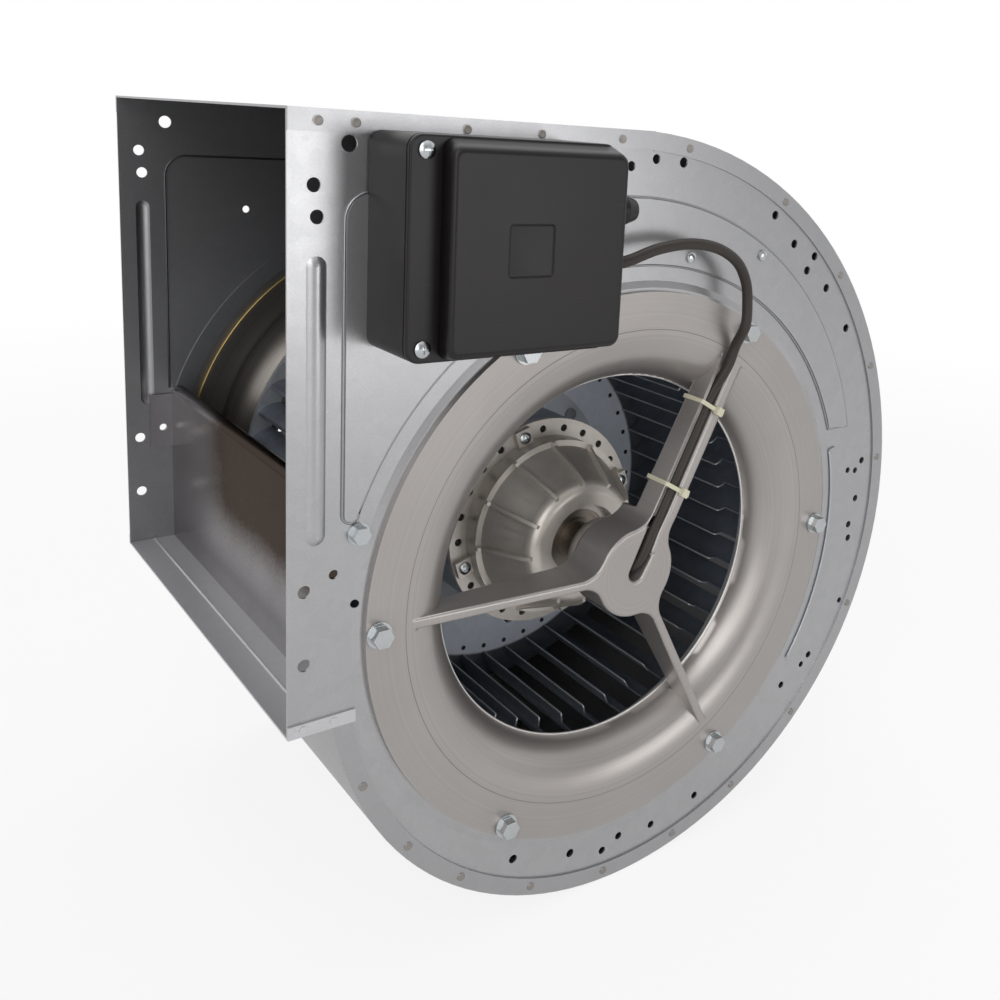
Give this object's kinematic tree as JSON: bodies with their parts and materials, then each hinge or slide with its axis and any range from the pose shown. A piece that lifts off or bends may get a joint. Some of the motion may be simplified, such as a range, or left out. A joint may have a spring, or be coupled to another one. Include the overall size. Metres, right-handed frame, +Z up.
{
  "type": "double inlet centrifugal blower",
  "caption": "Scroll-housed double inlet blower: forward-curved wheel on an external-rotor motor hung from a cast three-arm inlet ring, with terminal box.",
  "frame": {"origin": "centre of the bounding box of the whole assembly", "axes": "+Z up; the wheel's shaft lies along Y with the motor and terminal box side facing -Y; the outlet faces -X"},
  "size_m": [0.448, 0.3628, 0.476],
  "materials": {
    "galvanised_sheet": "satin galvanised zinc",
    "die_cast_aluminium": "shot-blasted casting",
    "pressed_ring_steel": "zinc plated, satin",
    "zinc_fasteners": "zinc plated, bright",
    "black_plastic": "moulded, matt",
    "cable_sheath": "matt sheath",
    "seal_rubber": "matt",
    "natural_nylon": "natural nylon",
    "terminal_plastic": "moulded",
    "ground_steel": "ground",
    "lamination_steel": "stacked sheet",
    "enamelled_copper": "varnished winding",
    "rotor_steel": "turned, dull",
    "wheel_galvanised": "blue-grey zinc"
  },
  "bodies": {
    "housing": {"front_side_plate": "galvanised_sheet", "rear_side_plate": "galvanised_sheet", "scroll_wrap": "galvanised_sheet", "outlet_bottom": "galvanised_sheet", "cutoff_plate": "galvanised_sheet", "plate_bolts": "zinc_fasteners", "plate_nuts": "zinc_fasteners", "motor_spider": "die_cast_aluminium", "rear_inlet_ring": "pressed_ring_steel", "front_ring_bolts": "zinc_fasteners", "rear_ring_bolts": "zinc_fasteners", "front_ring_nuts": "zinc_fasteners", "rear_ring_nuts": "zinc_fasteners", "box_base": "black_plastic", "box_lid": "black_plastic", "lid_seal": "seal_rubber", "lid_screws": "zinc_fasteners", "box_screws": "zinc_fasteners", "terminal_block": "terminal_plastic", "cable_gland": "black_plastic", "blank_plug": "black_plastic", "motor_cable": "cable_sheath", "cable_ties": "natural_nylon", "motor_axle": "ground_steel", "axle_clip": "ground_steel", "stator_core": "lamination_steel", "stator_windings": "enamelled_copper"},
    "rotor": {"rotor_shell": "rotor_steel", "rotor_core": "lamination_steel", "end_bell": "die_cast_aluminium", "bell_screws": "zinc_fasteners", "rear_cap": "die_cast_aluminium", "rear_cap_screws": "zinc_fasteners", "front_bearing": "ground_steel", "rear_bearing": "ground_steel", "wheel_disc": "wheel_galvanised", "disc_rivets": "zinc_fasteners", "front_blades": "wheel_galvanised", "rear_blades": "wheel_galvanised", "front_end_ring": "wheel_galvanised", "rear_end_ring": "wheel_galvanised"}
  },
  "joints": [
    {"name": "wheel_spin", "type": "hinge", "parent": "housing", "child": "rotor", "pos_m": [-0.01403, 0.0212, -0.024], "axis": [0, -1, 0], "continuous": true}
  ]
}
